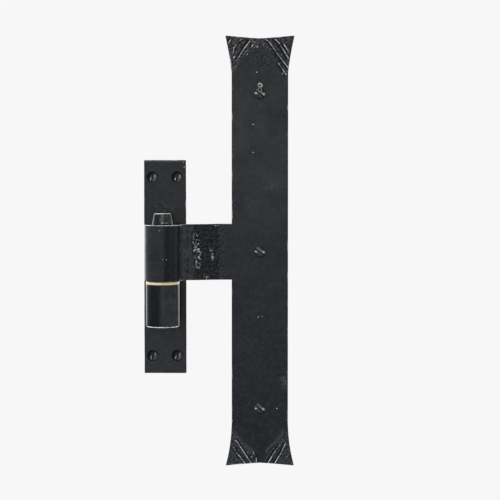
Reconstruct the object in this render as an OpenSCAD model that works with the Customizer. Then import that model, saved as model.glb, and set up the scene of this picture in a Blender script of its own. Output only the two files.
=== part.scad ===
// Lift-off strap hinge: a plate with an upright pin, and a rolled-eye leaf that hangs on it.
// Millimetres. +Z is up along the pin, the front faces -Y and the strap lies to +X.
// The origin is the centre of the pintle plate's back face.

/* [Pintle plate] */
// Width of the pintle plate
plate_w = 30; // [28:0.5:34]
// Height of the pintle plate
plate_h = 152; // [145:1:170]
// Thickness of the plate
plate_t = 5; // [4:0.5:6]
// Bevel along the plate's front edges
plate_bevel = 0.6; // [0.2:0.1:1]
// Distance across the plate between its screws
plate_screw_dx = 17.5; // [16:0.5:19]
// Distance up the plate between its screws
plate_screw_dz = 127; // [110:1:130]

/* [Boss and pin] */
// Radius of the pin
pin_r = 8; // [7:0.25:9]
// Distance of the pin to the left of the plate's centre line
pin_left = 1.2; // [0:0.1:2]
// Radius of the round boss that holds the pin
boss_r = 11.8; // [11:0.1:12.5]
// Height of the boss
boss_h = 30; // [24:1:36]
// Width of the neck that joins the boss to the plate
neck_w = 16; // [12:0.5:18]
// Length of the pin's visible tip above the eye
tip_h = 8; // [6:0.5:10]
// Radius of the pin's end
tip_r = 6; // [5:0.25:6.5]
// Radius of the pin where it leaves the eye
tip_base_r = 7.5; // [7:0.1:7.8]

/* [Washer] */
// Thickness of the brass washer between the boss and the eye
washer_t = 2; // [1.5:0.5:3]

/* [Leaf] */
// Thickness of the bar that the leaf is made of
bar_t = 5; // [4:0.5:5]
// Width of the bar, which is the height of the eye
bar_w = 40; // [36:1:44]
// Radial clearance of the eye and the washer on the pin
running_gap = 0.08; // [0.05:0.01:0.1]
// Gap between the eye and the plate
eye_gap = 0.5; // [0.4:0.1:1]
// Inner radius of the bend where the arm leaves the eye
throat_r = 6; // [6:0.5:8]
// Inner radius of the two bends that crank the arm
crank_r = 6; // [5:0.5:7]
// Angle of the crank
crank_angle = 19; // [17:1:30]
// Height of the leaf's centre above the plate's centre
leaf_z = 10.7; // [0:0.1:14]
// Distance from the pin to the strap's centre line
leaf_reach = 68.4; // [66:0.1:80]
// Length of the straight bar between the eye's bend and the crank
arm_straight = 2; // [1:0.5:3]

/* [Strap] */
// Width of the strap
strap_w = 40; // [38:1:44]
// Height of the strap between the tips of its fishtails
strap_h = 306; // [290:1:330]
// Width of a fishtail across its tips
tail_w = 49; // [46:1:52]
// Length of a fishtail's flare
tail_h = 32; // [26:1:34]
// How far a fishtail's end dips between its tips
tail_dip = 2; // [1:0.25:3]
// Distance between neighbouring strap screws
strap_screw_dz = 112; // [100:1:118]
// Number of chisel lines on each side of a fishtail
chisel_lines = 4; // [1:1:4]
// Width of a chisel line
chisel_w = 1; // [0.6:0.1:1.2]

/* [Screws] */
// Head radius of the plate's countersunk screws
flat_head_r = 3.5; // [3.3:0.1:3.7]
// Head radius of the strap's raised screws
raised_head_r = 4; // [3.8:0.1:4.3]
// Height of the raised heads above the strap
raised_head_h = 1.3; // [1:0.1:1.6]
// Length of each screw, measured from the face that it is driven into
screw_length = 25; // [20:1:30]
// Width of a screwdriver slot
slot_w = 0.9; // [0.7:0.1:1.1]

/* [Hidden] */
$fn = 64;
eps = 0.01;
drill_depth = 40;

PLATE_SCREWS = 4;
STRAP_SCREWS = 3;
function screw_names(stem, count) = [for (i = [1 : count]) str(stem, "_screw_", i)];

// Eye and pin
bore_r = pin_r + running_gap;
eye_r = bore_r + bar_t;
pin_x = -pin_left;
pin_y = -(plate_t + eye_gap + eye_r);
eye_bottom = leaf_z - bar_w / 2;
eye_top = leaf_z + bar_w / 2;
boss_top = eye_bottom - washer_t;
boss_bottom = boss_top - boss_h;
boss_edge = 0.8;
pin_edge = 0.4;
washer_edge = 0.3;
// The pin's taper starts inside the eye, where its cone meets the full radius
taper_slope = (tip_base_r - tip_r) / tip_h;
taper_start = eye_top - (pin_r - tip_base_r) / taper_slope;
pin_top = eye_top + tip_h;

// Neck of the boss, with a foot that widens where it is welded to the plate
plate_face = -plate_t - pin_y;
foot_w = neck_w + 5;
foot_h = 2.5;

// The leaf's bar seen from above, with the pin's axis at the origin
arc_step = 3;
arm_front = eye_r - bar_t;
// The throat bend touches both the eye's outside and the arm's front face
throat_y = arm_front - throat_r;
throat_x = sqrt(pow(eye_r + throat_r, 2) - pow(throat_y, 2));
throat = [throat_x, throat_y];
throat_tilt = atan2(throat_y, throat_x);
throat_back_end = 175;
// The rolled end of the bar stops just short of the throat bend's back
end_gap = 0.3;
end_reach = throat_r + bar_t + end_gap;
throat_span = eye_r + throat_r;
end_cos = (pow(eye_r, 2) + pow(throat_span, 2) - pow(end_reach, 2)) / (2 * eye_r * throat_span);
end_angle = throat_tilt + acos(end_cos);
// Metal left in the eye for the bore to cut away
bore_stock = 0.3;

// Crank that brings the arm back to the strap's plane
crank_mid_r = crank_r + bar_t / 2;
crank_shift = plate_t + eye_gap;
crank_slope = (crank_shift - 2 * crank_mid_r * (1 - cos(crank_angle))) / sin(crank_angle);
crank_side = [sin(crank_angle), -cos(crank_angle)];
crank_ahead = [cos(crank_angle), sin(crank_angle)];
crank_in = [throat_x + arm_straight, arm_front + bar_t / 2 + crank_mid_r];
crank_out = crank_in + 2 * crank_mid_r * crank_side + crank_slope * crank_ahead;
arm_end = leaf_reach - strap_w / 2;

// Strap
strap_x = pin_x + leaf_reach;
strap_half = strap_h / 2;
tail_flare = (tail_w - strap_w) / 2;
flare_r = (pow(tail_h, 2) + pow(tail_flare, 2)) / (2 * tail_flare);
dip_r = (pow(tail_w / 2, 2) + pow(tail_dip, 2)) / (2 * tail_dip);
// Chisel lines fan out from the end edge to the side edge, and run on across the flare
chisel_start_x = [17.5, 12.8, 8.2, 3.6];
chisel_end_z = [6, 12.5, 18.8, 25];
chisel_overrun = 8;

// Screws
hole_r = 2.1;
shank_r = 2;
thread_r = 1.75;
flat_sunk = 0.2;
flat_slot_depth = 0.8;
raised_slot_depth = 1.4;
point_h = 3.5;
point_r = 0.3;
// Slot angles as the screws were left, measured from level
PLATE_SLOTS = [-77, -74, -80, -76];
STRAP_SLOTS = [38, 34, 42];

// ---- Helpers ----

// Points along an arc about centre c, between two angles
function arc(c, r, from, to) =
    let (n = ceil(abs(to - from) / arc_step))
    [for (i = [0 : n]) let (a = from + (to - from) * i / n) c + r * [cos(a), sin(a)]];

// Places its children on the pin's axis
module at_pin(z = 0) {
    translate([pin_x, pin_y, z]) children();
}

// Places its children at a plate screw's head: 0 and 1 are the upper pair, 2 and 3 the lower
module at_plate_screw(i) {
    x = (i % 2 == 0 ? -1 : 1) * plate_screw_dx / 2;
    z = (i < 2 ? 1 : -1) * plate_screw_dz / 2;
    translate([x, -plate_t, z]) rotate([-90, 0, 0]) children();
}

// Places its children at a strap screw's head, 0 at the top
module at_strap_screw(i) {
    z = leaf_z + (1 - i) * strap_screw_dz;
    translate([strap_x, -bar_t, z]) rotate([-90, 0, 0]) children();
}

// A countersunk screw hole that starts at z = 0 and runs to +Z
module countersunk_hole(head_r) {
    translate([0, 0, -eps]) cylinder(r = hole_r, h = drill_depth);
    translate([0, 0, -eps]) cylinder(r1 = head_r + eps, r2 = hole_r, h = head_r - hole_r + eps);
}

// A slotted wood screw along +Z: a countersunk head, a plain shank, a thread and a point
module wood_screw(head_r, top_z, neck_z, slot_depth, slot_angle, dome_h = 0) {
    cone_h = head_r - shank_r;
    thread_end = screw_length - bar_t - point_h;
    difference() {
        union() {
            translate([0, 0, top_z]) cylinder(r1 = head_r, r2 = shank_r, h = cone_h);
            translate([0, 0, top_z + cone_h - eps])
                cylinder(r = shank_r, h = neck_z - top_z - cone_h + eps);
            if (dome_h > 0) dome(head_r, dome_h);
        }
        rotate([0, 0, slot_angle])
            translate([-head_r * 2, -slot_w / 2, top_z - dome_h - eps])
                cube([head_r * 4, slot_w, slot_depth + eps]);
    }
    translate([0, 0, neck_z]) cylinder(r = thread_r, h = thread_end);
    translate([0, 0, neck_z + thread_end]) cylinder(r1 = thread_r, r2 = point_r, h = point_h);
}

// The rounded cap of a raised head, which bulges to -Z from z = 0
module dome(r, h) {
    sphere_r = (r * r + h * h) / (2 * h);
    intersection() {
        translate([0, 0, sphere_r - h]) sphere(r = sphere_r);
        translate([0, 0, -h - eps]) cylinder(r = r, h = h + eps);
    }
}

// A square bar along X, turned on its corner, that cuts a V or a bevel this wide
module v_cutter(length, width) {
    side = width / sqrt(2);
    rotate([45, 0, 0]) translate([0, -side / 2, -side / 2]) cube([length, side, side]);
}

// ---- Pintle ----

module pintle_plate() {
    color("#2f3234") difference() {
        translate([-plate_w / 2, -plate_t, -plate_h / 2]) cube([plate_w, plate_t, plate_h]);
        for (i = [0 : PLATE_SCREWS - 1])
            at_plate_screw(i) countersunk_hole(flat_head_r + flat_sunk);
        for (side = [-1, 1]) {
            translate([side * plate_w / 2, -plate_t, plate_h]) rotate([0, 90, 0])
                v_cutter(plate_h * 2, plate_bevel * 2);
            translate([-plate_w, -plate_t, side * plate_h / 2])
                v_cutter(plate_w * 2, plate_bevel * 2);
        }
    }
}

module pintle_boss() {
    color("#282a2c") at_pin(boss_bottom) difference() {
        union() {
            rotate_extrude()
                polygon([
                    [0, 0], [boss_r - boss_edge, 0], [boss_r, boss_edge],
                    [boss_r, boss_h - boss_edge / 2], [boss_r - boss_edge / 2, boss_h], [0, boss_h]
                ]);
            linear_extrude(boss_h)
                polygon([
                    [-neck_w / 2, 0], [neck_w / 2, 0], [neck_w / 2, plate_face - foot_h],
                    [foot_w / 2, plate_face], [-foot_w / 2, plate_face],
                    [-neck_w / 2, plate_face - foot_h]
                ]);
        }
        translate([0, 0, -1]) cylinder(r = pin_r, h = boss_h + 2);
    }
}

module hinge_pin() {
    full_h = taper_start - boss_bottom;
    cone_h = pin_top - taper_start;
    color("#2c2e30") at_pin(boss_bottom)
        rotate_extrude()
            polygon([
                [0, 0], [pin_r - pin_edge, 0], [pin_r, pin_edge], [pin_r, full_h],
                [tip_r + pin_edge * taper_slope, full_h + cone_h - pin_edge],
                [tip_r - pin_edge, full_h + cone_h], [0, full_h + cone_h]
            ]);
}

// ---- Washer ----

module thrust_washer() {
    color("#d3bf99") at_pin(boss_top)
        rotate_extrude()
            polygon([
                [bore_r, 0], [boss_r - washer_edge, 0], [boss_r, washer_edge],
                [boss_r, washer_t - washer_edge], [boss_r - washer_edge, washer_t],
                [bore_r, washer_t]
            ]);
}

// ---- Leaf ----

// One bar: it is rolled into the eye, turned out at the throat and cranked to the strap's plane.
// Its front side is followed from the rolled end to the strap's edge, and its back side from there.
module eye_and_arm() {
    front_side = concat(
        arc([0, 0], eye_r, end_angle, 360),
        arc(throat, throat_r, 180 + throat_tilt, 90),
        arc(crank_in, crank_mid_r + bar_t / 2, -90, crank_angle - 90),
        arc(crank_out, crank_mid_r - bar_t / 2, crank_angle + 90, 90),
        [[arm_end, arm_front + crank_shift]]
    );
    back_side = concat(
        [[arm_end, eye_r + crank_shift]],
        arc(crank_out, crank_mid_r + bar_t / 2, 90, crank_angle + 90),
        arc(crank_in, crank_mid_r - bar_t / 2, crank_angle - 90, -90),
        arc(throat, throat_r + bar_t, 90, throat_back_end),
        arc([0, 0], bore_r - bore_stock, 360, end_angle)
    );
    color("#333435") at_pin(eye_bottom) difference() {
        linear_extrude(bar_w) polygon(concat(front_side, back_side));
        translate([0, 0, -1]) cylinder(r = bore_r, h = bar_w + 2);
    }
}

// The chisel lines of one fishtail's right half, cut into the front face
module chisel_fan() {
    for (i = [0 : chisel_lines - 1]) {
        from = [chisel_start_x[i], strap_half];
        to = [strap_w / 2, strap_half - chisel_end_z[i]];
        run = to - from;
        translate([from[0], -bar_t, from[1]])
            rotate([0, -atan2(run[1], run[0]), 0])
                v_cutter(norm(run) + chisel_overrun, chisel_w);
    }
}

module strap() {
    color("#33353a") translate([strap_x, 0, leaf_z]) difference() {
        translate([-tail_w / 2, -bar_t, -strap_half]) cube([tail_w, bar_t, strap_h]);
        for (side = [-1, 1]) {
            // the straight sides, between the flares
            translate([side * (strap_w + tail_w) / 2, -bar_t / 2, 0])
                cube([tail_w, bar_t + 1, strap_h - 2 * tail_h], center = true);
            // the flares
            for (end = [-1, 1])
                translate([side * (strap_w / 2 + flare_r), 1, end * (strap_half - tail_h)])
                    rotate([90, 0, 0]) cylinder(r = flare_r, h = bar_t + 2, $fn = 128);
            // the dip of each end
            translate([0, 1, side * (strap_half - tail_dip + dip_r)])
                rotate([90, 0, 0]) cylinder(r = dip_r, h = bar_t + 2, $fn = 128);
        }
        for (flip_x = [0, 1], flip_z = [0, 1])
            mirror([flip_x, 0, 0]) mirror([0, 0, flip_z]) chisel_fan();
        translate([-strap_x, 0, -leaf_z])
            for (i = [0 : STRAP_SCREWS - 1]) at_strap_screw(i) countersunk_hole(raised_head_r);
    }
}

// ---- Screws ----

module plate_screw(i) {
    color("#1e2022") at_plate_screw(i)
        wood_screw(flat_head_r, flat_sunk, plate_t, flat_slot_depth, PLATE_SLOTS[i]);
}

module strap_screw(i) {
    color("#1e2022") at_strap_screw(i)
        wood_screw(raised_head_r, 0, bar_t, raised_slot_depth, STRAP_SLOTS[i], raised_head_h);
}

pintle_plate();
pintle_boss();
hinge_pin();
thrust_washer();
eye_and_arm();
strap();
for (i = [0 : PLATE_SCREWS - 1])
    plate_screw(i);
for (i = [0 : STRAP_SCREWS - 1])
    strap_screw(i);
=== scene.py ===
import math
import random

import bpy
import numpy as np
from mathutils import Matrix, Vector, noise


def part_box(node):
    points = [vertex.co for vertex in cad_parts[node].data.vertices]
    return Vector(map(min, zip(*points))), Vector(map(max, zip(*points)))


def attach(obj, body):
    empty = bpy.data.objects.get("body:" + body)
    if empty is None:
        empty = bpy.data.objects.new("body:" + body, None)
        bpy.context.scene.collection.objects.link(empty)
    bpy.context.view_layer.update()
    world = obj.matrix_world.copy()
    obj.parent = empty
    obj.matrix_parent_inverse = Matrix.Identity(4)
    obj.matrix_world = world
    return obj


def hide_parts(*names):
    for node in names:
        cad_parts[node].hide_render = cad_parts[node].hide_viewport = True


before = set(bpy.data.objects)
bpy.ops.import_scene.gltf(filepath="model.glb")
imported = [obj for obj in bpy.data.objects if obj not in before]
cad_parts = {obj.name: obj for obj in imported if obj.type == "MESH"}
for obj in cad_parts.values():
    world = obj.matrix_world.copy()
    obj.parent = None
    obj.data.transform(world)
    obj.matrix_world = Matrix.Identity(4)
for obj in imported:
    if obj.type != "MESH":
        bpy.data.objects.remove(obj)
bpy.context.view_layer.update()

# The functions below work in millimetres, and make_object turns them into metres.
MM = 0.001


# ---- Places and sizes, from the CAD frame ----

def cad_box(node):
    """Lowest and highest corner of a CAD node in millimetres."""
    lo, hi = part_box(node)
    return Vector(lo) / MM, Vector(hi) / MM


PLATE_LO, PLATE_HI = cad_box("pintle_plate")
BOSS_LO, BOSS_HI = cad_box("pintle_boss")
PIN_LO, PIN_HI = cad_box("hinge_pin")
WASHER_LO, WASHER_HI = cad_box("thrust_washer")
EYE_LO, EYE_HI = cad_box("eye_and_arm")
STRAP_LO, STRAP_HI = cad_box("strap")

PIN_R = (PIN_HI.x - PIN_LO.x) / 2
AXIS = Vector(((PIN_LO.x + PIN_HI.x) / 2, (PIN_LO.y + PIN_HI.y) / 2))
BOSS_R = (BOSS_HI.x - BOSS_LO.x) / 2
EYE_R = AXIS.x - EYE_LO.x
EYE_MID = (EYE_LO.z + EYE_HI.z) / 2
BAR_T = STRAP_HI.y - STRAP_LO.y
BORE_R = EYE_R - BAR_T
PLATE_FACE = PLATE_LO.y
STRAP_FACE = STRAP_LO.y
STRAP_X = (STRAP_LO.x + STRAP_HI.x) / 2
STRAP_Z = (STRAP_LO.z + STRAP_HI.z) / 2
STRAP_HALF = (STRAP_HI.z - STRAP_LO.z) / 2
STRAP_W = 2 * (STRAP_X - EYE_HI.x)
TAIL_W = STRAP_HI.x - STRAP_LO.x
# Heights of the top and bottom flares, and how far the ends dip between their tips.
TAIL_H = 27.0
LONG_TAIL_H = 36.0
TAIL_DIP = 2.0


# ---- Mesh helpers ----

def add_object(name, data):
    """Puts a mesh, light or camera in the scene as an object."""
    obj = bpy.data.objects.new(name, data)
    bpy.context.scene.collection.objects.link(obj)
    return obj


def make_object(name, points, faces, material, sharp=35):
    """A smooth-shaded mesh with sharp edges, from points in millimetres."""
    mesh = bpy.data.meshes.new(name)
    mesh.from_pydata((np.asarray(points, float) * MM).tolist(), [], faces)
    mesh.validate()
    mesh.shade_smooth()
    mesh.set_sharp_from_angle(angle=math.radians(sharp))
    mesh.materials.append(material)
    return add_object(name, mesh)


def set_paint(obj, wear_and_highlight, dull_and_painted_light):
    """Stores the state of the paint at each point, for the materials to read. One value goes from
    0 to 1, which is bare metal; it is real wear, and it is also painted highlights and glints. The
    other goes from -1, painted shade that takes the shine off grooves and recesses, to 1, lighter
    dull paint, which is partly real dullness and partly painted light."""
    for name, values, lowest in (("wear_and_highlight", wear_and_highlight, 0), ("dull_and_painted_light", dull_and_painted_light, -1)):
        attribute = obj.data.attributes.new(name, "FLOAT", "POINT")
        attribute.data.foreach_set("value", np.clip(np.asarray(values, float), lowest, 1))


def positions(obj):
    """An object's points in millimetres."""
    flat = np.empty(len(obj.data.vertices) * 3)
    obj.data.vertices.foreach_get("co", flat)
    return flat.reshape(-1, 3) / MM


def bake(obj, sharp=35):
    """Applies an object's modifiers to its mesh."""
    graph = bpy.context.evaluated_depsgraph_get()
    mesh = bpy.data.meshes.new_from_object(obj.evaluated_get(graph))
    old, name = obj.data, obj.data.name
    obj.modifiers.clear()
    obj.data = mesh
    bpy.data.meshes.remove(old)
    mesh.name = name
    mesh.shade_smooth()
    mesh.set_sharp_from_angle(angle=math.radians(sharp))


def discard(obj):
    """Removes an object and its mesh."""
    mesh = obj.data
    bpy.data.objects.remove(obj)
    bpy.data.meshes.remove(mesh)


def cut(obj, cutters, solver="MANIFOLD"):
    """Cuts other objects out of obj and removes them."""
    for cutter in cutters:
        mod = obj.modifiers.new("cut", "BOOLEAN")
        mod.operation, mod.object, mod.solver = "DIFFERENCE", cutter, solver
    bake(obj)
    for cutter in cutters:
        discard(cutter)


def soften(obj, width, segments=2, angle=35):
    """Rounds an object's sharp edges over this width in millimetres."""
    mod = obj.modifiers.new("edges", "BEVEL")
    mod.width, mod.segments = width * MM, segments
    mod.limit_method, mod.angle_limit = "ANGLE", math.radians(angle)
    mod.use_clamp_overlap = True
    bake(obj, sharp=50)


def join(obj, other):
    """One object with the meshes of both, in place of them."""
    points, faces = [], []
    for part in (obj, other):
        base = len(points)
        points += [v.co / MM for v in part.data.vertices]
        faces += [tuple(base + i for i in p.vertices) for p in part.data.polygons]
    name, material = obj.name, obj.data.materials[0]
    discard(obj)
    discard(other)
    return make_object(name, points, faces, material)


def grid_faces(rows, cols, closed=False):
    """Quads over rings of points; closed joins the last ring to the first."""
    faces = []
    for i in range(rows if closed else rows - 1):
        for j in range(cols):
            k, m = (i + 1) % rows, (j + 1) % cols
            faces.append((i * cols + j, i * cols + m, k * cols + m, k * cols + j))
    return faces


def tube_faces(rows, cols):
    """Quads over rings of points, and a face over each end."""
    last = (rows - 1) * cols
    ends = [tuple(reversed(range(cols))), tuple(range(last, last + cols))]
    return grid_faces(rows, cols) + ends


def flipped(faces):
    return [tuple(reversed(face)) for face in faces]


def filleted(points, radii, steps, closed=False):
    """A 2D outline with its corners rounded, each in this many steps."""
    out, n = [], len(points)
    for i in range(n):
        p, r = Vector(points[i]), radii[i]
        if r <= 0 or (not closed and i in (0, n - 1)):
            out.append(tuple(p))
            continue
        a = (Vector(points[i - 1]) - p).normalized()
        b = (Vector(points[(i + 1) % n]) - p).normalized()
        half = a.angle(b) / 2
        centre = p + (a + b).normalized() * (r / math.sin(half))
        va = p + a * (r / math.tan(half)) - centre
        vb = p + b * (r / math.tan(half)) - centre
        sweep = va.angle(vb)
        for k in range(steps + 1):
            t = k / steps
            w = (va * math.sin((1 - t) * sweep) + vb * math.sin(t * sweep)) / math.sin(sweep)
            out.append(tuple(centre + w))
    return out


def divided(outline, longest, closed=False):
    """The same outline with no stretch longer than this."""
    out = []
    ends = outline[1:] + ([outline[0]] if closed else [])
    for a, b in zip(outline, ends):
        n = max(1, math.ceil(math.dist(a, b) / longest))
        out += [(a[0] + (b[0] - a[0]) * k / n, a[1] + (b[1] - a[1]) * k / n) for k in range(n)]
    return out if closed else out + [outline[-1]]


def lathe(profile, segments, closed=False):
    """Points and faces of a profile of (radius, height) turned about +Z."""
    angle = np.linspace(0, 2 * math.pi, segments, endpoint=False)
    points = []
    for r, z in profile:
        points += [(r * c, r * s, z) for c, s in zip(np.cos(angle), np.sin(angle))]
    if closed:
        return np.array(points), grid_faces(len(profile), segments, closed=True)
    return np.array(points), tube_faces(len(profile), segments)


def field(points, size, seed, octaves):
    """Smooth noise, about -1 to 1, with features about size millimetres across."""
    shift = Vector((seed * 7.31, seed * 3.77, seed * 5.13))
    return np.array([
        noise.fractal(Vector(p) / size + shift, 1.0, 2.0, octaves) for p in points.tolist()
    ])


def smooth_step(value, start, end):
    """0 up to start, 1 from end, with a smooth change between."""
    t = np.clip((value - start) / (end - start), 0, 1)
    return t * t * (3 - 2 * t)


def bell(value, middle, width, power=2):
    """1 at the middle and near 0 two widths away. A power of 4 gives a flatter top."""
    return np.exp(-((value - middle) / width) ** power)


# ---- Rounded slabs ----

def ticks(lo, hi, r, pitch, round_hi=True, fine=None):
    """Grid positions along one side of a slab, close together in its rounded edges. fine is
    how far in from both ends a finer pitch holds, and that pitch."""
    edge = [r * math.tan(math.radians(a)) for a in (45, 30, 15)]
    start, end = lo + r, hi - (r if round_hi else 0)
    inner, x = [start], start
    while x < end - 1e-6:
        step = pitch
        if fine and (x - lo < fine[0] or hi - x < fine[0]):
            step = fine[1]
        x = min(end, x + step)
        inner.append(x)
    if len(inner) > 2 and inner[-1] - inner[-2] < pitch * 0.3:
        inner.pop(-2)
    low = [lo + r - e for e in edge]
    high = [hi - r + e for e in reversed(edge)] if round_hi else []
    return np.array(low + inner + high)


def box_skin(xs, ys, zs):
    """Points and outward quads of the skin of a box grid."""
    skin = np.ones((len(xs), len(ys), len(zs)), bool)
    skin[1:-1, 1:-1, 1:-1] = False
    index = np.full(skin.shape, -1)
    index[skin] = np.arange(skin.sum())
    i, j, k = np.nonzero(skin)
    points = np.stack([xs[i], ys[j], zs[k]], axis=1)

    def quads(sheet, flip):
        a, b, c, d = sheet[:-1, :-1], sheet[1:, :-1], sheet[1:, 1:], sheet[:-1, 1:]
        order = [a, d, c, b] if flip else [a, b, c, d]
        return np.stack([q.ravel() for q in order], axis=1)

    faces = np.concatenate([
        quads(index[0], True), quads(index[-1], False),
        quads(index[:, 0], False), quads(index[:, -1], True),
        quads(index[:, :, 0], True), quads(index[:, :, -1], False),
    ])
    return points, faces.tolist()


def rounded(points, lo, hi, r):
    """Moves a box's skin onto rounded edges, and gives each point's outward direction. r holds
    the radii at the box's low sides and at its high sides; a side with radius 0 stays sharp."""
    r_lo, r_hi = r
    inner = np.clip(points, np.array(lo) + r_lo, np.array(hi) - r_hi)
    away = points - inner
    length = np.linalg.norm(away, axis=1, keepdims=True)
    out = away / np.maximum(length, 1e-9)
    return inner + out * np.where(length > 1e-9, np.max(r), 0), out


# ---- Surface marks ----

def forged(points, seed):
    """Depth of the shallow unevenness that forging and paint leave, from 0 to about 0.2."""
    broad = field(points, 17, seed, 2)
    small = field(points, 4.5, seed + 3, 2)
    return np.clip(0.09 + 0.09 * broad + 0.03 * small, 0, 0.25)


def near_line(u, d, line):
    """Distance of each point (u, d) from a line of points, above 0 on the side the chisel
    leaned from, and how far the point lies beyond the line's ends."""
    best, beyond, last = np.full(len(u), 1e9), np.zeros(len(u)), len(line) - 2
    for n, ((ax, ay), (bx, by)) in enumerate(zip(line, line[1:])):
        vx, vy = bx - ax, by - ay
        length = math.hypot(vx, vy)
        t = ((u - ax) * vx + (d - ay) * vy) / length ** 2
        over = np.where(t < 0, -t if n == 0 else 0, 0)
        over = np.where(t > 1, t - 1 if n == last else 0, over) * length
        t = np.clip(t, 0, 1)
        away = np.hypot(u - ax - t * vx, d - ay - t * vy)
        side = np.where(vx * (d - ay) - vy * (u - ax) > 0, 1.0, -1.0)
        closer = away < np.abs(best)
        best = np.where(closer, away * side, best)
        beyond = np.where(closer, over, beyond)
    return best, beyond


def chiselled(u, d, lines):
    """Depth, wear and painted shade of chisel lines at (u, d): each is a groove that leans to one
    side, and a burr beside it where the paint is rubbed off. The burr's bare metal is partly wear
    and partly a painted glint, and the groove and the other side of the line get painted shade. A
    line is how hard it was struck and its points along the burr."""
    relief, wear_and_highlight, shade = np.zeros(len(u)), np.zeros(len(u)), np.zeros(len(u))
    for struck, line in lines:
        away, beyond = near_line(u, d, line)
        ends = struck * bell(beyond, 0, 0.35)
        groove = ends * bell(away, 0.95, 0.55)
        shade_opposite = 0.5 * ends * bell(away, -0.85, 0.4)
        # Painted shade over the groove and along the line's other side.
        shade = np.maximum(shade, np.maximum(groove, shade_opposite))
        relief += 0.5 * groove
        relief -= 0.2 * struck * bell(away, 0, 0.42)
        wear_and_highlight = np.maximum(wear_and_highlight, struck * bell(away, 0, 0.29) * bell(beyond, 0, 0.6))
    return relief, wear_and_highlight, shade


def dimpled(u, d, inside, count, seed):
    """Depth of the small punch marks scattered between the chisel lines."""
    rng = random.Random(seed)
    relief, made = np.zeros(len(u)), 0
    while made < count:
        pu, pd = rng.uniform(-23, 23), rng.uniform(2.0, 27)
        if not inside(pu, pd):
            continue
        made += 1
        r = rng.uniform(0.45, 0.8)
        relief += 0.2 * bell(np.hypot(u - pu, d - pd), 0, r)
    return relief


# ---- Screws ----

def screw_place(node):
    """Where a CAD screw sits: its axis, its head's radius and where it starts and ends along Y."""
    lo, hi = cad_box(node)
    return (lo.x + hi.x) / 2, (lo.z + hi.z) / 2, (hi.x - lo.x) / 2, lo.y, hi.y


def driven(points, x, z, face):
    """Puts points made along +Z at a screw's place, with z = 0 on the face it is driven in."""
    p = np.asarray(points, float)
    return np.stack([p[:, 0] + x, p[:, 2] + face, z - p[:, 1]], axis=1)


def sink_cutter(x, z, face, head_r, drift=(0.0, 0.0)):
    """The tool that cuts a countersunk hole: its mouth is a little worn. drift is how far
    left and up of the hole the mouth was sunk."""
    hole_r, wall_h, through = 2.12, 0.98, 7.0
    sink_r = head_r + 0.1
    profile = [(head_r + 0.7, -1), (head_r + 0.24, -0.02), (sink_r, 0.3), (sink_r, wall_h),
               (hole_r, wall_h + sink_r - hole_r), (hole_r, through)]
    points, faces = lathe(profile, 72)
    points[:, :2] -= np.array(drift) * (points[:, 2:] < wall_h + 0.1)
    return make_object("cutter", driven(points, x, z, face), faces, BLANK)


def sink_holes(obj, screws, count, face, wider, drift=(0.0, 0.0)):
    """Cuts the countersunk holes of these CAD screws; wider is added to each head's radius."""
    cutters = []
    for i in range(1, count + 1):
        x, z, head_r, _, _ = screw_place(f"{screws}_{i}")
        cutters.append(sink_cutter(x, z, face, head_r + wider, drift))
    cut(obj, cutters)


def screw_thread(start, end, root, crest, pitch, point_h):
    """A wood screw's tapering thread and gimlet point, along +Z."""
    turns = 40
    z = np.arange(start, end + 1e-6, 0.16)
    angle = np.linspace(0, 2 * math.pi, turns, endpoint=False)
    zz, aa = np.meshgrid(z, angle, indexing="ij")
    phase = (zz / pitch - aa / (2 * math.pi)) % 1.0
    ridge = np.clip(1 - np.abs(phase - 0.5) / 0.24, 0, 1) ** 1.3
    taper = np.clip((end - zz) / point_h, 0.04, 1)
    fade_in = np.clip((zz - start) / pitch, 0, 1)
    body = root * taper ** 0.8
    r = body + (crest - root) * ridge * fade_in * np.clip(taper * 1.6, 0.05, 1)
    points = np.stack([r * np.cos(aa), r * np.sin(aa), zz], axis=2).reshape(-1, 3)
    return points, tube_faces(len(z), turns)


def head_profile(head_r, top, raised):
    """The outline of a screw's head, from its middle to its rim."""
    if not raised:
        return [(0.02, top + 0.15), (head_r * 0.5, top + 0.16), (head_r - 0.75, top + 0.2),
                (head_r - 0.3, top + 0.24), (head_r - 0.08, top + 0.4), (head_r, top + 0.8)]
    dome, steepest = [], 1.15
    for t in np.linspace(0, steepest, 14):
        rise = (math.cos(t) - math.cos(steepest)) / (1 - math.cos(steepest))
        dome.append((max(head_r * math.sin(t) / math.sin(steepest), 0.02), top * rise - 0.02))
    return dome


def slot_cutter(head_r, top, angle, width, depth):
    """The bar that cuts a screw's slot, at this angle and depth below the head's top."""
    c, s = math.cos(angle), math.sin(angle)
    half_l, half_w = head_r * 1.5, width / 2
    points = [(x * c - y * s, x * s + y * c, z) for x in (-half_l, half_l)
              for y in (-half_w, half_w) for z in (top - 2, top + depth)]
    faces = [(0, 1, 3, 2), (4, 6, 7, 5), (0, 4, 5, 1), (2, 3, 7, 6), (0, 2, 6, 4), (1, 5, 7, 3)]
    return make_object("cutter", points, faces, BLANK)


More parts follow.
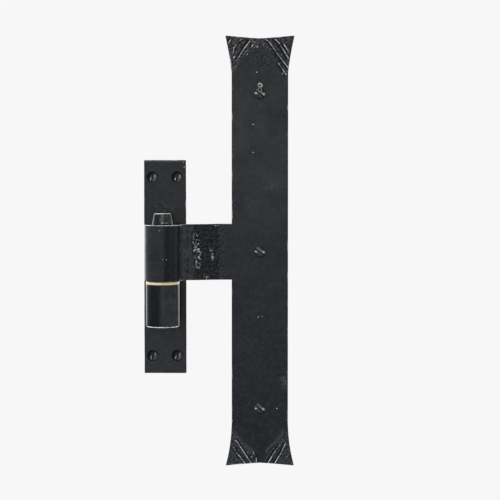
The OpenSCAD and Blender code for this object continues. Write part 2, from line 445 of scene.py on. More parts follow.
def wood_screw(name, node, face, body, slot_angle, raised, material):
    """A slotted wood screw: its head with a real slot, its shank, its thread and its point."""
    x, z, head_r, start, end = screw_place(node)
    top, shank_r = start - face, 2.0
    head = head_profile(head_r, top, raised)
    cone_end = head[-1][1] + 0.15 + head_r - shank_r
    profile = head + [(shank_r, cone_end), (shank_r, -face - 0.2), (shank_r - 0.3, -face + 0.6)]
    points, faces = lathe(divided(profile, 0.5), 96)
    rough = field(points, 2.4, x * 0.13 + z * 0.07, 2)
    points[:, 2] += np.where(points[:, 2] < top + 1.6, 0.03 + 0.04 * rough, 0)
    head_obj = make_object(name, points, flipped(faces), material)
    slot_w, slot_h = 0.95, 1.6 if raised else 1.15
    cut(head_obj, [slot_cutter(head_r, top, slot_angle, slot_w, slot_h)], "EXACT")
    soften(head_obj, 0.1)
    points, faces = screw_thread(-face + 0.2, end - face, root=1.4, crest=1.93, pitch=1.7,
                                 point_h=5.5)
    screw = join(head_obj, make_object("thread", points, flipped(faces), material))
    local = positions(screw)
    dripped = node == "strap_screw_1"
    set_paint(screw, *screw_marks(local, top, raised, slot_angle, x + z, dripped))
    screw.data.vertices.foreach_set("co", (driven(local, x, z, face) * MM).ravel())
    screw.data.update()
    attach(screw, body)
    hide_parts(node)


def screw_marks(local, top, raised, angle, seed, dripped):
    """Wear and painted light of a screw's head: bare metal along the slot and, on a raised one, on
    its left and right shoulders, which is partly rubbing by a driver and partly painted highlight,
    with painted light and shade over the rest of the head. dripped leaves a drop of paint on its
    upper edge."""
    u, v, deep = local[:, 0], local[:, 1], local[:, 2]
    c, s = math.cos(angle), math.sin(angle)
    along, across = u * c + v * s, v * c - u * s
    if raised:
        # Bare metal on the slot's upper side and on the shoulders: partly rubbing by a driver and
        # partly painted highlights.
        wear_and_highlight = 0.36 * bell(across, -1.2, 0.5) * bell(along, 0.6, 2.0, 4)
        for pu, pv, ru, rv in ((-2.8, -0.1, 1.05, 0.75), (2.6, 0.3, 1.05, 1.05)):
            wear_and_highlight = np.maximum(wear_and_highlight, 0.66 * bell(u, pu, ru) * bell(v, pv, rv))
        # Painted light on bands beside the slot, and painted shade on the lower and upper rims.
        dull_and_painted_light = 0.9 * bell(across, -1.25, 0.9) + 0.75 * bell(across, 1.2, 0.65)
        dull_and_painted_light -= 0.9 * smooth_step(v, 2.5, 3.3) + 0.4 * smooth_step(-v, 2.9, 3.7)
        slot_floor = top + 1.25
    else:
        # Bare metal strips beside the slot: partly rubbing by a driver and partly painted
        # highlights.
        wear_and_highlight = 0.40 * bell(across, -1.15, 0.38) * bell(along, -1.5, 1.5)
        wear_and_highlight += 0.40 * bell(across, 1.2, 0.38) * bell(along, 1.5, 1.6)
        wear_and_highlight += 0.2 * bell(np.abs(across), 1.15, 0.3) * bell(along, 0, 2.6, 4)
        # Painted light to the lower right of the head and painted shade in its upper left.
        to_light = u + 0.8 * v
        dull_and_painted_light = 0.8 * smooth_step(to_light, -0.6, 2.0) - 0.9 * smooth_step(-to_light, 1.4, 2.6)
        slot_floor = top + 0.75
    if dripped:
        # A painted glint round the drop; its middle is darker, with less shine.
        from_drop = np.hypot(u + 0.1, v + 2.7)
        wear_and_highlight = np.maximum(wear_and_highlight, 0.3 * bell(from_drop, 1.2, 0.45))
        dull_and_painted_light -= 1.2 * bell(from_drop, 0, 0.7)
    seen = (0.95 + 0.3 * field(local, 1.1, seed * 0.11, 2)) * (deep < slot_floor)
    return wear_and_highlight * seen, dull_and_painted_light * seen


# ---- Left half: plate, boss and pin ----

def weld_bead(name, x, lo, hi, material, body):
    """A run of weld up one side of the boss's foot, with overlapping crescent ripples and
    rounded ends."""
    r, ripple, run, turns, points = 1.35, 1.3, hi - lo, 28, []
    stations = np.linspace(0, run, int(run / 0.18))
    for up in stations:
        end_fade = math.sqrt(max(0.0, 1 - max(0, 1 - min(up, run - up) / r) ** 2))
        for k in range(turns):
            a = 2 * math.pi * k / turns
            phase = (up / ripple + 0.35 * math.cos(2 * a)) % 1.0
            lump = 0.97 + 0.09 * (1 - phase) ** 2
            wander = noise.noise(Vector((up * 0.35, k * 0.2, r))) * 0.08
            rr, a = r * max(end_fade, 0.02) * (lump + wander), a + math.pi / 4
            points.append((x + rr * math.cos(a), PLATE_FACE - 0.3 + rr * math.sin(a), lo + up))
    bead = make_object(name, points, tube_faces(len(stations), turns), material, sharp=80)
    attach(bead, body)


def plate(material):
    """The pintle plate: flat bar with eased edges, faint forging marks, and countersunk holes
    whose mouths are a little up and to the left of their screws."""
    lo, hi, r = PLATE_LO, PLATE_HI, 0.75
    points, faces = box_skin(ticks(lo.x, hi.x, r, 0.8), ticks(lo.y, hi.y, r, 1.2),
                             ticks(lo.z, hi.z, r, 0.8))
    points, out = rounded(points, lo, hi, ([r] * 3, [r] * 3))
    before_back = out[:, 1] < 0.5
    nicks = np.clip(field(points, 3.2, 9, 2) - 0.45, 0, 1) * 0.3
    edge = before_back * (np.abs(out).max(axis=1) < 0.98)
    points -= out * (0.8 * forged(points, 1.0) * before_back + nicks * edge)[:, None]
    obj = make_object("plate", points, faces, material, sharp=50)
    # The top edge and the rounding into it are painted lighter: a painted highlight, as if lit
    # from above.
    top = smooth_step(points[:, 2], hi.z - 1.8, hi.z - 0.7)
    top = np.maximum(top, smooth_step(out[:, 2], 0.1, 0.6))
    low_end = 0.16 * smooth_step(-points[:, 2], 20, 60)
    by_pin = bell(points[:, 0], AXIS.x, 9, 4) * bell(points[:, 2], PIN_HI.z + 4, 4)
    by_pin *= 0.02 + 0.8 * field(points, 1.6, 43, 2)
    set_paint(obj, edge * (0.1 + 0.35 * field(points, 9, 14, 2)),
              (np.maximum(0.75 * top, low_end) + by_pin) * before_back)
    sink_holes(obj, "plate_screw", 4, PLATE_FACE, 0.22, (0.24, 0.2))
    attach(obj, "pintle")
    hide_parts("pintle_plate")


def boss(material):
    """The round boss with its bore, its neck and the foot that is welded to the plate."""
    lo, hi, r = BOSS_LO.z, BOSS_HI.z, BOSS_R
    outline = [(PIN_R + 0.02, lo + 0.35), (PIN_R + 0.4, lo), (r, lo), (r, hi),
               (PIN_R + 0.4, hi), (PIN_R + 0.02, hi - 0.35)]
    outline = filleted(outline, [0, 0.1, 1.1, 0.35, 0.1, 0], 5, closed=True)
    points, faces = lathe(divided(outline, 1.2, closed=True), 128, closed=True)
    points += [AXIS.x, AXIS.y, 0]
    body = make_object("boss", points, flipped(faces), material)
    foot, neck, deep = 10.4, 7.95, PLATE_FACE - AXIS.y
    shape = [(-neck, 5), (neck, 5), (neck, deep - 2.6), (foot, deep - 0.2), (foot, deep),
             (-foot, deep), (-foot, deep - 0.2), (-neck, deep - 2.6)]
    shape = filleted(shape, [0, 0, 2.2, 0.1, 0, 0, 0.1, 2.2], 5, closed=True)
    ends = [(AXIS.x + u, AXIS.y + v, z) for z in (lo + 0.25, hi - 0.25) for u, v in shape]
    neck_obj = make_object("neck", ends, tube_faces(2, len(shape)), material)
    soften(neck_obj, 0.5, 3, 60)
    obj = join(body, neck_obj)
    placed = positions(obj)
    from_axis = np.hypot(placed[:, 0] - AXIS.x, placed[:, 1] - AXIS.y)
    on_round = (from_axis > r - 0.9) & (from_axis < r + 0.05) & (placed[:, 1] < AXIS.y + 4)
    # The bottom rim gets bare metal, partly wear and partly a painted highlight; the right side is
    # painted lighter, as painted light on that side.
    worn_and_lit_rim = on_round * bell(placed[:, 2], lo + 0.35, 0.4)
    right = smooth_step(placed[:, 0] - AXIS.x, -3.5, 1.5)
    set_paint(obj, worn_and_lit_rim * (0.9 + 0.7 * field(placed, 2.2, 15, 2)),
              0.42 * right * (0.9 + 0.5 * field(placed, 5, 25, 3)))
    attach(obj, "pintle")
    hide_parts("pintle_boss")
    for side, label in ((-1, "left"), (1, "right")):
        x = AXIS.x + side * (foot + 0.1)
        weld_bead(f"boss_weld_{label}", x, lo + 0.4, hi - 0.4, WELD, "pintle")


def pin(material):
    """The pin: ground round bar with a tapered tip, softened end and a turned centre mark."""
    lo, hi = PIN_LO.z, PIN_HI.z
    tip_r, base_r = 6.0, 7.5
    start = EYE_HI.z - (PIN_R - base_r) * (hi - EYE_HI.z) / (base_r - tip_r)
    outline = [(0.4, lo + 0.9), (1.3, lo + 0.05), (PIN_R, lo), (PIN_R, start), (tip_r, hi),
               (1.2, hi), (0.3, hi - 0.8)]
    outline = filleted(outline, [0, 0.2, 0.45, 1.5, 0.7, 0.25, 0], 5)
    points, faces = lathe(divided(outline, 1.4), 128)
    high = points[:, 2] > EYE_HI.z - 1
    worn = np.clip(field(points, 3.5, 4, 2), -1, 1)
    points[:, 0:2] *= 1 - np.where(high, 0.004 + 0.006 * worn, 0)[:, None]
    points += [AXIS.x, AXIS.y, 0]
    obj = make_object("pin", points, faces, material)
    z = points[:, 2]
    across = points[:, 0] - AXIS.x
    # The tip's top rim and a ring just above the eye get bare metal as painted highlights.
    lit_end_rim = 0.75 * bell(z, hi - 0.25, 0.3)
    lit_end_rim *= np.hypot(across, points[:, 1] - AXIS.y) > tip_r - 0.7
    ring = 0.45 * bell(z, EYE_HI.z + 1.3, 0.3) * (across > -1)
    rubbed_and_glints = smooth_step(z, BOSS_HI.z, BOSS_HI.z + 3)
    rubbed_and_glints *= 1 - smooth_step(z, EYE_HI.z - 3, EYE_HI.z)
    # The front and right of the pin above the eye are painted lighter: painted light.
    patch = smooth_step(across, -3, -0.5) * (1 - 0.4 * smooth_step(across, 0, 3)) * (z > EYE_HI.z)
    set_paint(obj, (lit_end_rim + ring) * (0.7 + 0.6 * field(points, 2.0, 16, 2)) + rubbed_and_glints,
              0.8 * patch * (0.8 + 0.9 * field(points, 2.0, 26, 3)))
    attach(obj, "pintle")
    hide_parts("hinge_pin")


# ---- Washer ----

def washer(material):
    """The brass washer: turned faces with shallow rings, and rims eased by wear."""
    lo, hi = WASHER_LO.z, WASHER_HI.z
    inner, outer = BORE_R, BOSS_R
    outline = filleted([(inner, lo), (outer, lo), (outer, hi), (inner, hi)],
                       [0.15, 0.35, 0.35, 0.15], 4, closed=True)
    outline = divided(outline, 0.16, closed=True)
    points, faces = lathe(outline, 160, closed=True)
    r = np.hypot(points[:, 0], points[:, 1])
    on_face = (r > inner + 0.3) & (r < outer - 0.4)
    rings = 0.012 * np.sin(r * 2 * math.pi / 0.55)
    points[:, 2] += on_face * rings * np.sign(points[:, 2] - (lo + hi) / 2)
    points[:, 2] = np.clip(points[:, 2], lo, hi)
    on_rim = r > outer - 0.05
    turned = 0.02 * np.sin(points[:, 2] * 2 * math.pi / 0.5) + 0.02
    dents = np.clip(field(points, 2.2, 6, 2) - 0.35, 0, 1) * 0.18
    points[:, 0:2] *= 1 - (np.where(on_rim, turned + dents, 0) / outer)[:, None]
    points += [AXIS.x, AXIS.y, 0]
    obj = make_object("washer", points, flipped(faces), material)
    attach(obj, "washer")
    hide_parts("thrust_washer")


# ---- Right half: eye, arm and strap ----

# Inner radii of the leaf's bends, the crank's angle, the straight between throat and crank,
# and the gap where the rolled end comes round to the throat.
THROAT_R, CRANK_R, CRANK_ANGLE, ARM_STRAIGHT, END_GAP = 6.0, 6.0, math.radians(19), 2.0, 0.3


def bar_route():
    """The middle of the leaf's bar seen from above: X, Y and heading at its rolled end, and
    the length and curvature of each part after that. Curvature above 0 turns left."""
    mid, throat, bend = (r + BAR_T / 2 for r in (BORE_R, THROAT_R, CRANK_R))
    span, reach = EYE_R + THROAT_R, THROAT_R + BAR_T + END_GAP
    tilt = math.asin((BORE_R - THROAT_R) / span)
    opening = math.acos((EYE_R ** 2 + span ** 2 - reach ** 2) / (2 * EYE_R * span))
    first = tilt + opening
    start = AXIS.x + mid * math.cos(first), AXIS.y + mid * math.sin(first), first + math.pi / 2
    c, s = math.cos(CRANK_ANGLE), math.sin(CRANK_ANGLE)
    slope = (STRAP_FACE - AXIS.y - BORE_R - 2 * bend * (1 - c)) / s
    crank_end = AXIS.x + span * math.cos(tilt) + ARM_STRAIGHT + 2 * bend * s + slope * c
    return start, [
        ((2 * math.pi - opening) * mid, 1 / mid),
        ((math.pi / 2 + tilt) * throat, -1 / throat),
        (ARM_STRAIGHT, 0),
        (CRANK_ANGLE * bend, 1 / bend),
        (slope, 0),
        (CRANK_ANGLE * bend, -1 / bend),
        (EYE_HI.x - crank_end, 0),
    ]


def moved(x, y, heading, run, curvature):
    """X, Y and heading after a run along an arc or straight."""
    half_turn = run * curvature / 2
    chord = run * np.sinc(half_turn / math.pi)
    ahead = heading + half_turn
    return x + chord * np.cos(ahead), y + chord * np.sin(ahead), ahead + half_turn


def along_bar(route, distance, offset):
    """World X and Y at a distance along the bar and an offset to the left of its middle."""
    place, parts = route
    x, y = np.zeros(len(distance)), np.zeros(len(distance))
    for length, curvature in parts:
        here = distance >= 0
        mid_x, mid_y, heading = moved(*place, distance[here], curvature)
        x[here] = mid_x - offset[here] * np.sin(heading)
        y[here] = mid_y + offset[here] * np.cos(heading)
        place = moved(*place, length, curvature)
        distance = distance - length
    return x, y


def eye_and_arm(material):
    """One bar rolled into the eye, turned out at the throat and cranked back to the strap."""
    route = bar_route()
    lengths = [length for length, _ in route[1]]
    total = sum(lengths)
    r = 0.8
    lo = np.array([0.0, -BAR_T / 2, EYE_LO.z])
    hi = np.array([total, BAR_T / 2, EYE_HI.z])
    crank = (sum(lengths[:2]) - 3, sum(lengths[:6]) + 6)
    along = ticks(lo[0], hi[0], r, 0.7, round_hi=False)
    along = np.concatenate([along[along < crank[0]], np.arange(crank[0], crank[1], 0.28),
                            along[along > crank[1] + 0.1]])
    points, faces = box_skin(along, ticks(lo[1], hi[1], r, 0.8), ticks(lo[2], hi[2], r, 0.33))
    points, out = rounded(points, lo, hi, ([r] * 3, [0, r, r]))
    x, y = along_bar(route, points[:, 0], points[:, 1])
    world, right = np.stack([x, y, points[:, 2]], axis=1), x - AXIS.x
    facing = smooth_step(np.abs(out[:, 1]), 0.2, 0.8)
    outside = out[:, 1] < -0.3
    rough, rubbed_and_glints, mottled = hammered(world)
    depth = forged(world, 2.0) + rough * facing * np.where(outside, 1.0, 0.3)
    flat_back = (out[:, 1] > 0.2) & (right > 36)
    depth = np.where(flat_back, 0, depth)
    edge = np.abs(out).max(axis=1) < 0.97
    at_strap = edge * smooth_step(total - points[:, 0], 0.0, 4.0)
    depth = depth + np.clip(field(world, 6, 12, 2) - 0.25, 0, 1) * 0.2 * at_strap
    local = points - out * depth[:, None]
    x, y = along_bar(route, np.clip(local[:, 0], 0, total), local[:, 1])
    placed = np.stack([x, y, local[:, 2]], axis=1)
    obj = make_object("eye_arm", placed, faces, material, sharp=50)

    # The eye's top rim and a streak along the arm's top edge get bare metal, partly wear and
    # partly painted highlights.
    worn_and_lit_rim = smooth_step(out[:, 2], 0.2, 0.5) * (1 - smooth_step(out[:, 2], 0.8, 0.97))
    worn_and_lit_rim *= (1 - smooth_step(right, 9, 14)) * (0.5 + 0.3 * field(world, 3.0, 29, 2))
    highlight_streak = bell(world[:, 2], EYE_HI.z - 1.4, 0.5) * bell(right, 37.7, 2.6, 4)
    highlight_streak *= 0.3 + 0.3 * field(world, 2.0, 33, 2)
    wear_and_highlight = outside * np.maximum(np.maximum(worn_and_lit_rim, highlight_streak), rubbed_and_glints * facing)
    wear_and_highlight = np.maximum(wear_and_highlight, at_strap * (0.08 + 0.3 * field(world, 9, 19, 2)))
    # The throat is painted lighter, with speckle: painted light where the bar turns out.
    throat = smooth_step(right, 11.5, 14) * (1 - smooth_step(right, 17, 24))
    throat *= 0.4 + 0.45 * field(world, 2.8, 37, 3)
    set_paint(obj, wear_and_highlight, outside * facing * (throat + mottled))
    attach(obj, "leaf")
    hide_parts("eye_and_arm")


def hammered(world):
    """Depth, wear and painted light of the rough work where the arm was cranked: two bands of
    spatter that lean to the right as they go down, over a finely pitted patch. The bare metal on
    the bands' ridges and in spots near the bottom is painted glints, the patch's mottle is lighter
    and darker paint at random, and the bands between their ridges get painted shade."""
    right, up = world[:, 0] - AXIS.x, world[:, 2] - EYE_MID
    patch = smooth_step(right, 19.2, 22.2) * (1 - smooth_step(right, 39.2, 47.2))
    pitted = patch * np.clip(0.12 + 0.16 * field(world, 1.8, 21, 3), 0, 0.4)
    first = bell(right + 0.115 * up, 24.1, np.interp(up, (-11, 14), (2.0, 3.9)), 4)
    first *= (1 - smooth_step(np.abs(up - 1), 11, 15)) * (1 - 0.4 * smooth_step(up, 5, 9))
    second = bell(right + 0.17 * (up + 1.8), 34.6, 1.1, 4)
    second *= 1 - smooth_step(np.abs(up + 1.8), 4, 7)
    low = bell(right, 30.4, 2.2) * (1 - smooth_step(up, -19, -14))
    bands = np.clip(first + second, 0, 1)
    ridges = np.clip(1 - 4.4 * np.abs(field(world, 2.0, 41, 2)), 0, 1) ** 1.5
    spots = smooth_step(field(world, 1.3, 47, 2), 0.1, 0.4)
    rough = pitted + bands * 0.3 * (1 - ridges)
    # Bare metal on the bands' ridges and in spots near the bottom and over the patch: painted
    # glints.
    rubbed_and_glints = bands * ridges * (0.68 + 0.6 * spots) + (low + 0.12 * patch) * spots * 0.6
    # Random lighter and darker mottle over the patch, and painted shade on the bands between their
    # ridges.
    mottled = patch * (0.03 + 0.75 * field(world, 1.0, 53, 2)) - 0.5 * bands * (1 - ridges)
    return np.clip(rough, 0, 0.6), rubbed_and_glints, mottled


# What is worked into the fishtails, as (u, d) in millimetres: u is to the right of the strap's
# middle, and d is in from its tips. A line is how hard it was struck and its points. A spot
# ends with how worn it is. A panel is the d and half width of the plain middle. A stain is its
# middle, its half width and height, how square it is, and its strength.
TOP_LINES = [
    (1.0, [(-20.1, 1.8), (-21.9, 5.1)]),
    (0.9, [(-18.8, 11.9), (-18.4, 9.6), (-17.0, 6.9), (-15.4, 4.5), (-13.1, 2.9)]),
    (1.0, [(-7.1, 4.1), (-10.4, 8.3)]),
    (0.62, [(-10.4, 8.3), (-11.1, 9.2), (-15.4, 16.0), (-16.6, 17.9)]),
    (0.8, [(-4.9, 6.4), (-6.3, 8.9)]),
    (1.0, [(16.7, 6.1), (17.9, 7.6), (20.1, 11.2)]),
    (0.95, [(10.8, 2.9), (12.6, 4.3), (14.2, 6.4), (17.9, 12.4), (20.1, 16.0)]),
    (1.0, [(4.3, 3.1), (5.8, 3.9), (7.4, 5.8), (9.0, 8.1)]),
    (0.7, [(9.0, 8.1), (11.9, 12.4), (14.2, 15.4)]),
    (1.0, [(14.2, 15.4), (20.1, 22.9)]),
    (0.65, [(13.1, 19.6), (18.7, 27.9)]),
]
TOP_SPOTS = [(-10.5, 11.5, 0.8), (-18.2, 15.4, 1.0), (-18.4, 8.6, 1.0), (14.7, 28.3, 0.5),
             (18.4, 27.4, 0.8), (-2.1, 26.0, 0.55), (-3.4, 4.5, 0.5), (0.2, 5.1, 0.5),
             (-1.9, 8.1, 0.6), (-9.0, 13.4, 0.5), (-11.2, 15.8, 0.4), (7.4, 8.6, 0.4),
             (17.2, 24.6, 0.5), (16.0, 26.9, 0.5)]
TOP_PANEL = ((8.2, 8.7, 13.4, 17.0, 22.0, 30.0), (0.0, 3.5, 9.7, 12.5, 15.0, 20.0))
TOP_STAIN = (3.0, 16.0, 11.0, 9.0, 4, 1.0)
BOTTOM_LINES = [
    (1.0, [(-18.4, 13.1), (-17.0, 9.9), (-13.8, 6.0), (-9.9, 1.0)]),
    (0.64, [(-17.6, 18.3), (-16.2, 17.1), (-14.4, 14.3)]),
    (1.0, [(-14.4, 14.3), (-11.0, 9.1), (-5.9, 1.4)]),
    (0.95, [(-4.7, 9.9), (-3.3, 6.8), (-2.4, 5.2), (-2.5, 2.6)]),
    (1.0, [(5.9, 2.0), (8.6, 6.6)]),
    (0.62, [(8.6, 6.6), (9.6, 8.4), (14.0, 14.3)]),
    (1.0, [(10.6, 1.6), (14.0, 7.2)]),
    (0.72, [(14.0, 7.2), (14.8, 8.4), (18.4, 15.9)]),
]
BOTTOM_SOFT = [
    [(4.9, 9.9), (7.2, 13.1), (12.4, 17.5), (17.1, 23.9)],
    [(11.2, 10.7), (14.0, 14.3), (17.1, 18.7)],
    [(-17.6, 23.1), (-12.6, 15.9), (-4.7, 9.9)],
]
BOTTOM_SPOTS = [(-17.4, 7.8, 0.4), (19.6, 6.5, 0.4), (-8.6, 9.4, 0.4), (-5.8, 6.4, 0.4)]
BOTTOM_PANEL = ((0.0, 3.0, 6.8, 9.9, 13.0, 17.5, 23.9, 30.0),
                (2.5, 2.6, 3.3, 4.8, 7.5, 12.4, 17.1, 20.0))
BOTTOM_STAIN = (1.5, 2.0, 4.0, 3.5, 2, 1.3)


def fishtail(u, d, lines, soft, spots, panel, stain, seed):
    """Depth, wear and lighter and darker paint of everything worked into one fishtail, outside its
    plain pointed panel; the darkening along the chisel lines is painted shade."""
    relief, wear_and_highlight, shade = chiselled(u, d, lines)
    dull_and_painted_light = np.zeros(len(u))
    for line in soft:
        ridge = bell(near_line(u, d, line)[0], 0, 1.1)
        relief -= 0.2 * ridge
        dull_and_painted_light = np.maximum(dull_and_painted_light, 0.5 * ridge)
    for su, sd, most in spots:
        dot = bell(np.hypot(u - su, d - sd), 0, 0.65)
        relief -= 0.15 * dot
        wear_and_highlight = np.maximum(wear_and_highlight, most * dot)

    def outside(pu, pd):
        return abs(pu) > np.interp(pd, *panel) + 1 and abs(pu) < 19 + 4 * (1 - pd / 27)

    corner = smooth_step(np.abs(u) - np.interp(d, *panel), 0, 1.6)
    corner *= 1 - smooth_step(d, 26, 31)
    flat = np.stack([u, d, np.full(len(u), seed * 3.0)], axis=1)
    relief += corner * np.clip(0.08 + 0.14 * field(flat, 2.0, seed, 3), 0, 0.3)
    relief += dimpled(u, d, outside, 60, seed)
    mottled = field(flat, 1.1, seed + 9, 2)
    dull_and_painted_light = np.maximum(dull_and_painted_light, 0.22 * corner) + corner * 1.25 * mottled
    stain_u, stain_d, half_w, half_h, square, strength = stain
    stained = strength * bell(u, stain_u, half_w) * bell(d, stain_d, half_h, square)
    dull_and_painted_light += stained * (0.9 * mottled - 0.14)
    # Along the chisel lines the paint gets painted shade in place of the rest.
    dull_and_painted_light = np.maximum(dull_and_painted_light, -0.9) * (1 - shade) - shade
    return relief, wear_and_highlight * (0.74 + 0.6 * field(flat, 2.4, seed + 4, 2)), dull_and_painted_light


def strap_blank():
    """The strap's bar with its flared and dipped ends: its points from its middle, their
    outward directions, its faces, and which points are in its joint with the arm."""
    r, half_w = 0.7, STRAP_W / 2
    hi = np.array([half_w, BAR_T / 2, STRAP_HALF])
    lo = -hi
    box, faces = box_skin(ticks(lo[0], hi[0], r, 0.3), ticks(lo[1], hi[1], r, 1.2),
                          ticks(lo[2], hi[2], r, 0.9, fine=(39, 0.3)))
    points, out = rounded(box, lo, hi, ([r] * 3, [r] * 3))

    # the arm meets the left edge here, so that edge stays square
    from_arm = np.abs(box[:, 2] + STRAP_Z - EYE_MID)
    joint = (box[:, 0] < -half_w + r + 1e-6) & (from_arm < (EYE_HI.z - EYE_LO.z) / 2 - 0.4)
    points[joint] = box[joint]

    height, sign = np.abs(points[:, 2]), np.sign(points[:, 2])
    up = np.clip(height - (STRAP_HALF - TAIL_H), 0, None)
    flare = (TAIL_W - STRAP_W) / 2
    longer = np.clip(height - (STRAP_HALF - LONG_TAIL_H), 0, None)
    wider = np.where(sign > 0, flare * (up / TAIL_H) ** 1.35,
                     0.97 * flare * (longer / LONG_TAIL_H) ** 2.3)
    points[:, 0] *= 1 + wider / half_w
    across = np.abs(points[:, 0]) / (half_w + flare)
    points[:, 2] -= sign * TAIL_DIP * (1 - across ** 1.2) * smooth_step(up, TAIL_H * 0.2, TAIL_H)
    return points, out, faces, joint


def strap(material):
    """The strap: forged bar with chisel lines and punch marks at its ends, and holes for its
    screws."""
    points, out, faces, joint = strap_blank()
    world = points + [STRAP_X, (STRAP_LO.y + STRAP_HI.y) / 2, STRAP_Z]
    front = smooth_step(-out[:, 1], 0.3, 0.9)
    front[joint] = points[joint, 1] < 0
    depth = forged(world, 2.0) * front
    below = STRAP_HALF - np.abs(points[:, 2])
    wear_and_highlight, dull_and_painted_light = np.zeros(len(points)), np.zeros(len(points))
    for sign_z, *marks in (
            (1, TOP_LINES, [], TOP_SPOTS, TOP_PANEL, TOP_STAIN, 5),
            (-1, BOTTOM_LINES, BOTTOM_SOFT, BOTTOM_SPOTS, BOTTOM_PANEL, BOTTOM_STAIN, 8)):
        near = (below < 32) & (points[:, 2] * sign_z > 0) & (front > 0)
        relief, rubbed_and_glints, dull_and_painted_shade = fishtail(points[near, 0], below[near], *marks)
        depth[near] += relief * front[near]
        wear_and_highlight[near] = rubbed_and_glints * front[near]
        dull_and_painted_light[near] = dull_and_painted_shade * front[near]
    # The paint drops are raised, and their outlines get bare metal as a painted glint.
    rings = paint_rings(points[:, 0], world[:, 2]) * front
    depth -= rings
    wear_and_highlight += rings * 3.2
    dull_and_painted_light += front * scuffs_and_top_light(world, points[:, 0], points[:, 2])
    edge = (np.abs(out).max(axis=1) < 0.97) & ~joint & (out[:, 1] < 0.5)
    wear_and_highlight += edge * np.clip(0.1 + 0.4 * field(world, 9, 23, 2), 0, 1)
    depth += np.clip(field(world, 6, 17, 2) - 0.3, 0, 1) * 0.22 * edge
    move = out * depth[:, None]
    move[joint] = 0
    move[joint, 1] = -depth[joint]
    placed = world - move
    placed[:, 1] = np.clip(placed[:, 1], STRAP_LO.y, STRAP_HI.y)
    obj = make_object("strap_bar", placed, faces, material, sharp=50)
    set_paint(obj, wear_and_highlight, dull_and_painted_light)
    sink_holes(obj, "strap_screw", 3, STRAP_FACE, -0.15)
    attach(obj, "leaf")
    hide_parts("strap")


# Scuffs on the strap: place right of and above its middle, half width and height, how
# steeply they rise to the right, and strength.
SCUFFS = [(17.5, -93.0, 2.4, 4.5, 0.0, 1.5), (9.0, 47.0, 8.0, 2.6, 0.3, 0.6)]


def scuffs_and_top_light(world, u, up):
    """Lighter paint on the strap's face, u right of its middle and up above it: its upper part is
    painted a little lighter, as painted light from above, and there are scuffs to the right."""
    cloudy = 0.5 + field(world, 14, 61, 2)
    # Painted light: the upper part is a little lighter, as if lit from above.
    lit_upper = smooth_step(up, 5, 40) * (1 - smooth_step(up, 105, 125))
    scuffed = 0
    for su, sup, half_w, half_h, slope, strength in SCUFFS:
        rise = slope * (u - su)
        scuffed = scuffed + strength * bell(u, su, half_w) * bell(up - rise, sup, half_h)
    return 0.12 * lit_upper * cloudy + scuffed * np.clip(0.2 + 1.1 * field(world, 1.6, 67, 2), 0, 0.7)


def paint_rings(u, z):
    """Height of the two rings that drops of paint left above the top screw."""
    up = z - screw_place("strap_screw_1")[1]
    large, small = np.hypot(u - 0.1, up - 5.9), np.hypot(u - 0.1, up - 2.7)
    height = 0.2 * bell(large, 1.3, 0.5)
    height *= 0.9 + 0.07 * np.clip(u - 0.1 + up - 5.9, -1.5, 1.5)
    return np.maximum(height, 0.16 * bell(small, 1.2, 0.4))


def paint_chips(name, body, places, material):
    """Small chips where the paint has come off and the metal catches the light.
    Each place is where the chip is and its size."""
    points, faces = [], []
    rng = random.Random(4)
    for x, y, z, size in places:
        base, n = len(points), 14
        sides = [size * rng.uniform(0.7, 1.15) for _ in range(n)]
        for ring, lift in ((1.0, 0.25), (0.75, -0.03), (0.3, -0.05)):
            for k in range(n):
                a = 2 * math.pi * k / n
                rr = sides[k] * ring
                points.append((x + rr * math.cos(a), y + lift, z + rr * math.sin(a)))
        faces += [tuple(base + i for i in f) for f in tube_faces(3, n)]
    obj = make_object(name, points, faces, material)
    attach(obj, body)


# ---- Materials ----

def new_material(name):
    """A new material, its node tree and its shader."""
    mat = bpy.data.materials.new(name)
    mat.use_nodes = True
    return mat, mat.node_tree, mat.node_tree.nodes["Principled BSDF"]


def set_inputs(tree, node, inputs):
    """Sets a node's inputs. Each is a number, a colour or the output of another node."""
    for key, value in inputs.items():
        socket = node.inputs[key]
        if isinstance(value, bpy.types.NodeSocket):
            tree.links.new(value, socket)
        elif socket.type == "RGBA":
            socket.default_value = (*value, 1)
        else:
            socket.default_value = value


def add_node(tree, kind, inputs, output=0, **settings):
    """Adds a shader node with these settings and inputs, and gives one of its outputs."""
    node = tree.nodes.new("ShaderNode" + kind)
    for key, value in settings.items():
        setattr(node, key, value)
    set_inputs(tree, node, inputs)
    return node.outputs[output]


def noise_node(tree, scale, detail, rough, stretch=None):
    """A noise texture with this many features a metre; stretch scales it along each axis."""
    coords = add_node(tree, "TexCoord", {}, "Object")
    if stretch:
        coords = add_node(tree, "Mapping", {"Vector": coords, "Scale": stretch})
    return add_node(tree, "TexNoise", {"Vector": coords, "Scale": scale, "Detail": detail,
                                       "Roughness": rough}, "Fac")


def ranged(tree, value, low, high, to_low, to_high):
    """value from low..high to to_low..to_high."""
    return add_node(tree, "MapRange", {"Value": value, "From Min": low, "From Max": high,
                                       "To Min": to_low, "To Max": to_high}, "Result")


def mixed(tree, factor, a, b):
    """Mixes two colours; each is a colour or a socket."""
    return add_node(tree, "Mix", {"Factor": factor, 6: a, 7: b}, 2, data_type="RGBA")


def math_node(tree, operation, a, b):
    return add_node(tree, "Math", {0: a, 1: b}, operation=operation)


def bump_chain(tree, heights):
    """The normal that several heights give together, each with its depth in millimetres."""
    before = {}
    for value, depth in heights:
        normal = add_node(tree, "Bump", {"Strength": 1.0, "Distance": depth * MM,
                                         "Height": value, **before}, "Normal")
        before = {"Normal": normal}
    return normal


# The colour of dull paint, which also serves as painted light.
DULL_AND_LIT_PAINT = (0.065, 0.070, 0.074)


